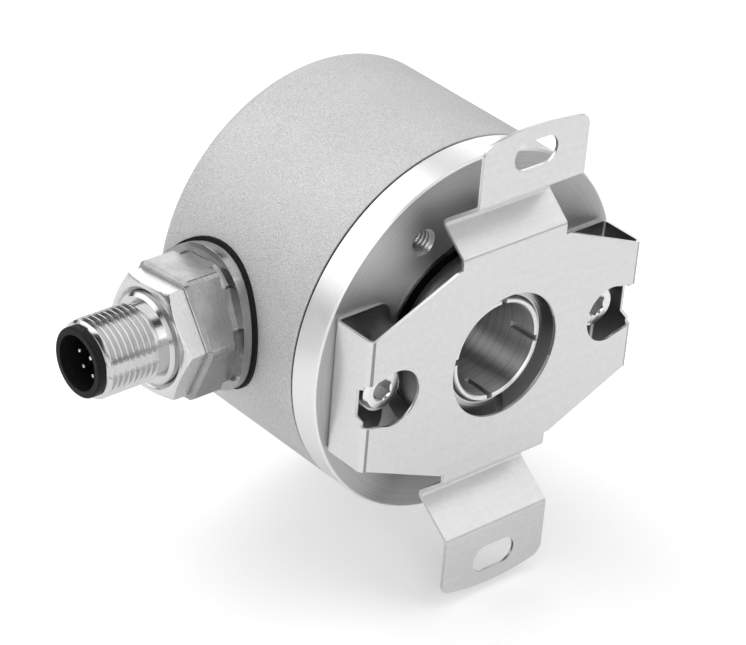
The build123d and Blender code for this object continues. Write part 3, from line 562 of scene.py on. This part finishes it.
# Screws with a hexagon socket, and their washers
screws = {"radius": 3.5, "height": 4.0, "seat": -1.4, "edge": 0.35, "shank": 2.0, "core": 1.64, "end": 6.0,
          "faceEdge": 0.3, "rimDraft": 0.12, "rimRise": 0.25, "socket": 3.0, "socketDepth": 2.0,
          "socketSpare": 1.0, "sinkFront": 1.95, "sinkRear": 1.55, "sinkDepth": 0.2, "mouth": -5.15,
          "socketReach": 1.8, "places": (-21.0, 21.0)}


def makeScrew(v):
    face = v["seat"] - v["height"]
    corners = [onShaft(0, face), onShaft(v["radius"] - v["edge"] - v["faceEdge"], face),
               onShaft(v["radius"] - v["rimDraft"], face + v["edge"]),
               onShaft(v["radius"], face + v["edge"] + v["rimRise"]),
               onShaft(v["radius"], v["seat"]), onShaft(v["shank"], v["seat"]), onShaft(v["shank"], 0),
               onShaft(v["core"], 0), onShaft(v["core"], v["end"]), onShaft(0, v["end"])]
    piece = turnPiece("couplingScrew", corners, shaftLine, steps=72)
    socket = rodPiece("socketCut", onShaft(0, face - v["socketSpare"]), onShaft(0, face + v["socketDepth"]),
                      v["socket"] / sqrt(3), sides=6)
    cutAway(piece, socket)
    front, rear = face - v["sinkDepth"], face + v["sinkDepth"]
    cone = turnPiece("socketMouth", [onShaft(0, front), onShaft(v["sinkFront"], front),
                                     onShaft(v["sinkRear"], rear), onShaft(0, rear)], shaftLine, steps=48)
    cutAway(piece, cone)
    return finishEdges(piece, width=0.06, smooth=45)


def joinPieces(first, *others):
    makeActive(first)
    for other in others:
        other.select_set(True)
    bpy.ops.object.join()


def copiedTo(piece, offset):
    twin = piece.copy()
    twin.data = piece.data.copy()
    bpy.context.collection.objects.link(twin)
    twin.data.transform(Matrix.Translation(offset))
    return twin


firstScrew = makeScrew(screws)
secondScrew = copiedTo(firstScrew, onShaft(screws["places"][1], 0))
firstScrew.data.transform(Matrix.Translation(onShaft(screws["places"][0], 0)))
joinPieces(firstScrew, secondScrew)
dress(firstScrew, "brightScrew", "stator", "coupling_screws")
# the socket's inner faces get a darker steel than the head: painted shade in the hollow
paintSome(firstScrew, "turnedSteel", lambda place, way: (
    screws["mouth"] < place.y < screws["seat"]
    and hypot(abs(place.x) - screws["places"][1], place.z) < screws["socketReach"]))
dress(dressedCopy("coupling_washers", "couplingWashers", width=0.08), "brightScrew", "stator",
      "coupling_washers")
print("screws and washers made")


# Hollow shaft and clamping ring
paintedHighlightFacing = -0.5  # shaft faces that look out of the mouth more than this get the lighter copy: painted highlight
hollowShaft = dressedCopy("hollow_shaft", "hollowShaft", width=0.05, smooth=40)
# the whole shaft gets the dark steel: painted shade in the bore
dress(hollowShaft, "boreSteelPaintedShade", "rotor", "hollow_shaft")
paintSome(hollowShaft, "rimPaintedHighlight", lambda place, way: way.y < paintedHighlightFacing)
dress(dressedCopy("clamping_ring", "clampingRing", width=0.08, smooth=40), "turnedSteel", "rotor",
      "clamping_ring")
print("shaft and clamping ring made")


# Connector: base, nut and gasket
dress(dressedCopy("connector_gasket", "connectorGasket", width=0.05), "blackRubber", "stator",
      "connector_gasket")
connectorBase = dressedCopy("connector_base", "connectorBase", width=0.12, segments=3, smooth=40)
# the base gets the darkened nickel: painted shade and painted reflections
dress(connectorBase, "nickelPaintedShade", "stator", "connector_base")
connectorNut = dressedCopy("connector_nut", "connectorNut", width=0.1, segments=3, smooth=40)
dress(connectorNut, "satinNickel", "stator", "connector_nut")
print("connector base and nut made")


# Threaded shell: the key slot's floor lies a little below the thread's roots, deeper than in the part
shell = {"rear": 32.0, "collar": 7.0, "collarFront": 40.9, "collarEdge": 0.5, "neck": 5.4,
         "threadStart": 42.1, "threadEnd": 51.2, "neckOverlap": 0.2, "insideStart": 0.4, "inside": 5.2,
         "bore": 5.0, "slotWidth": 1.7, "slotFloor": 5.34, "slotAngle": 5.0, "slotShift": 0.5,
         "endChamfer": 0.5, "startChamfer": 0.3, "crestSpare": 0.01, "spare": 1.0,
         "thread": {"crest": 6.0, "root": 5.38, "pitch": 1.0, "length": 9.1, "steps": 96}}


def makeShell(v):
    start, end, spare = v["threadStart"], v["threadEnd"], v["spare"]
    corners = [onPort(v["rear"], 0), onPort(v["rear"], v["collar"]),
               onPort(v["collarFront"] - v["collarEdge"], v["collar"]),
               onPort(v["collarFront"], v["collar"] - v["collarEdge"]), onPort(v["collarFront"], v["neck"]),
               onPort(start + v["neckOverlap"], v["neck"]), onPort(start + v["insideStart"], v["inside"]),
               onPort(end - v["neckOverlap"], v["inside"]), onPort(end - v["neckOverlap"], 0)]
    piece = turnPiece("connectorShell", corners, portLine, steps=128)
    rod = threadRod("shellThread", v["thread"])
    layAlong(rod, onPort(start, 0), Vector((-1, 0, 0)))
    crest = v["thread"]["crest"] + v["crestSpare"]
    envelope = turnPiece("threadEnds", [
        onPort(start - spare, 0), onPort(start - spare, crest - v["startChamfer"] - spare),
        onPort(start + v["startChamfer"], crest), onPort(end - v["endChamfer"], crest),
        onPort(end + spare, crest - v["endChamfer"] - spare), onPort(end + spare, 0)], portLine, steps=128)
    shapeBy(rod, envelope, "INTERSECT")
    shapeBy(piece, rod, "UNION")
    bore = rodPiece("shellBore", onPort(v["rear"] - spare, 0), onPort(end + spare, 0), v["bore"], sides=96)
    depth = v["thread"]["crest"] + spare - v["slotFloor"]
    middle = aroundPort((start + end) / 2 + v["slotShift"], v["slotFloor"] + depth / 2, v["slotAngle"])
    slot = barPiece("keySlot", middle, (end - start + 2 * spare, depth, v["slotWidth"]), -v["slotAngle"], "X")
    cutAway(piece, bore, slot)
    return finishEdges(piece, width=0, smooth=35)


# the shell gets the darker nickel: painted shade
dress(makeShell(shell), "threadNickelPaintedShade", "stator", "connector_shell")
dress(dressedCopy("connector_insert", "connectorInsert", width=0.06), "insertPlastic", "stator",
      "connector_insert")
print("shell and insert made")


# Pins with rounded tips
pins = {"radius": 0.4, "rear": 30.4, "tip": 50.3, "round": 0.22, "shoulder": 0.3, "circle": 2.75, "count": 7,
        "start": 181.5}


def makePin(v):
    return turnPiece("connectorPin", [
        onPort(v["rear"], 0), onPort(v["rear"], v["radius"]), onPort(v["tip"] - v["round"], v["radius"]),
        onPort(v["tip"] - v["round"] * v["shoulder"], v["radius"] - v["round"] * v["shoulder"]),
        onPort(v["tip"], v["radius"] - v["round"]), onPort(v["tip"], 0)], portLine, steps=32)


middlePin = makePin(pins)
ringPins = []
for index in range(pins["count"]):
    place = aroundPort(0, pins["circle"], pins["start"] + index * 360 / pins["count"])
    ringPins.append(copiedTo(middlePin, place - onPort(0, 0)))
joinPieces(middlePin, *ringPins)
finishEdges(middlePin, width=0, smooth=50)
dress(middlePin, "contactMetal", "stator", "connector_pins")
print("pins made")


# The pieces inside and between keep their own shape
carriedOver = {
    "housing_seal": "blackRubber", "shaft_seal": "blackRubber", "clamp_screw": "brightScrew",
    "front_bearing_inner_ring": "hiddenSteel", "front_bearing_outer_ring": "hiddenSteel",
    "rear_bearing_inner_ring": "hiddenSteel", "rear_bearing_outer_ring": "hiddenSteel",
    "front_bearing_cage": "cagePlastic", "rear_bearing_cage": "cagePlastic",
    "front_bearing_balls": "hiddenSteel", "rear_bearing_balls": "hiddenSteel",
    "bearing_spacer": "hiddenSteel",
    "preload_spring": "springSheet", "hub_retaining_ring": "springSheet", "shaft_circlip": "springSheet",
    "disc_hub": "turnedFlange", "code_disc": "codedGlass", "board_posts": "hiddenSteel",
    "circuit_board": "boardLaminate", "board_screws": "brightScrew", "board_chips": "chipPlastic",
    "read_head": "chipPlastic", "light_source": "chipPlastic", "light_lead": "filmLead",
    "connector_lead": "filmLead",
}
for node, finish in carriedOver.items():
    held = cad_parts[node]
    if not held.data.materials:
        held.data.materials.append(materials[finish])
    for place in held.material_slots:
        place.material = materials[finish]
print("inner pieces dressed")


# Stage, lights and camera
stage = {"floorHeight": -40.0, "floorSize": 6000.0, "paper": 0.92, "roughness": 0.9, "specular": 0.1,
         "lift": 0.25, "fadeStart": 350.0, "fadeEnd": 900.0, "surround": 0.03}
clearSelection()
bpy.ops.mesh.primitive_plane_add(size=stage["floorSize"] * mm, location=(0, 0, stage["floorHeight"] * mm))
floor = bpy.context.active_object
nameIt(floor, "paleFloor")
floorPaint = bpy.data.materials.new("palePaper")
floorPaint.use_nodes = True
paper = floorPaint.node_tree
paperShader = paper.nodes["Principled BSDF"]
paperShader.inputs["Base Color"].default_value = (*grey(stage["paper"]), 1)
paperShader.inputs["Roughness"].default_value = stage["roughness"]
paperShader.inputs["Specular IOR Level"].default_value = stage["specular"]
paperShader.inputs["Emission Color"].default_value = (1, 1, 1, 1)
# for the eye alone the paper is lifted a little where the shadow falls, and to white far away
paperPlace = addNode(paper, "TexCoord")
paperReach = addNode(paper, "VectorMath", operation="LENGTH")
paper.links.new(paperPlace.outputs["Object"], paperReach.inputs[0])
paperFade = addNode(paper, "MapRange", {
    "From Min": stage["fadeStart"] * mm, "From Max": stage["fadeEnd"] * mm, "To Min": stage["lift"]})
paper.links.new(paperReach.outputs["Value"], paperFade.inputs["Value"])
paperPath = addNode(paper, "LightPath")
paperLift = addNode(paper, "Math", operation="MULTIPLY")
paper.links.new(paperPath.outputs["Is Camera Ray"], paperLift.inputs[0])
paper.links.new(paperFade.outputs["Result"], paperLift.inputs[1])
paper.links.new(paperLift.outputs[0], paperShader.inputs["Emission Strength"])
floor.data.materials.append(floorPaint)

# the world is white for the eye, and nearly dark for every other ray
world = bpy.data.worlds.new("studio")
bpy.context.scene.world = world
world.use_nodes = True
room = world.node_tree
roomLight = room.nodes["Background"]
roomLight.inputs["Color"].default_value = (1, 1, 1, 1)
roomPath = addNode(room, "LightPath")
roomLevel = addNode(room, "MapRange", {"To Min": stage["surround"]})
room.links.new(roomPath.outputs["Is Camera Ray"], roomLevel.inputs["Value"])
room.links.new(roomLevel.outputs["Result"], roomLight.inputs["Strength"])

# soft boxes: the level is the brightness of the box itself
lamps = {
    "topBox": {"place": (50, 150, 1000), "aim": (0, 60, 0), "size": 1100, "level": 1.25},
    "edgeBox": {"place": (-450, 640, 700), "aim": (0, 10, 0), "size": 1250, "level": 1.5},
    "foldBox": {"place": (545, -470, 545), "aim": (0, -5, 20), "size": 1000, "level": 1.0},
    "leftBox": {"place": (-900, -350, 350), "aim": (0, 10, 0), "size": 600, "level": 0.9},
    "backBox": {"place": (650, 750, 380), "aim": (0, 20, 0), "size": 600, "level": 1.6},
    "eyeFill": {"place": (-430, -640, 480), "aim": (0, 0, 0), "size": 500, "level": 2.2},
    "fanBox": {"place": (100, -900, 40), "aim": (0, 0, 0), "size": 300, "level": 1.6},
    "frontFill": {"place": (-330, -880, 230), "aim": (0, 0, 0), "size": 480, "level": 1.8},
}
for name, v in lamps.items():
    glow = bpy.data.lights.new(name, "AREA")
    glow.shape = "SQUARE"
    glow.size = v["size"] * mm
    glow.energy = v["level"] * pi * glow.size ** 2
    lamp = bpy.data.objects.new(name, glow)
    bpy.context.collection.objects.link(lamp)
    lamp.location = Vector(v["place"]) * mm
    lamp.rotation_euler = (Vector(v["aim"]) - Vector(v["place"])).to_track_quat("-Z", "Y").to_euler()

view = {"place": (-288.517, -291.261, 244.974), "turn": (59.0533, -4.0134, -40.3848), "lens": 157.612,
        "sensor": 36.0}
eye = bpy.data.cameras.new("photoView")
eye.lens = view["lens"]
eye.sensor_width = view["sensor"]
camera = bpy.data.objects.new("photoView", eye)
bpy.context.collection.objects.link(camera)
camera.location = Vector(view["place"]) * mm
camera.rotation_euler = [radians(angle) for angle in view["turn"]]
bpy.context.scene.camera = camera
bpy.context.scene.view_settings.view_transform = "Standard"
print("stage set")
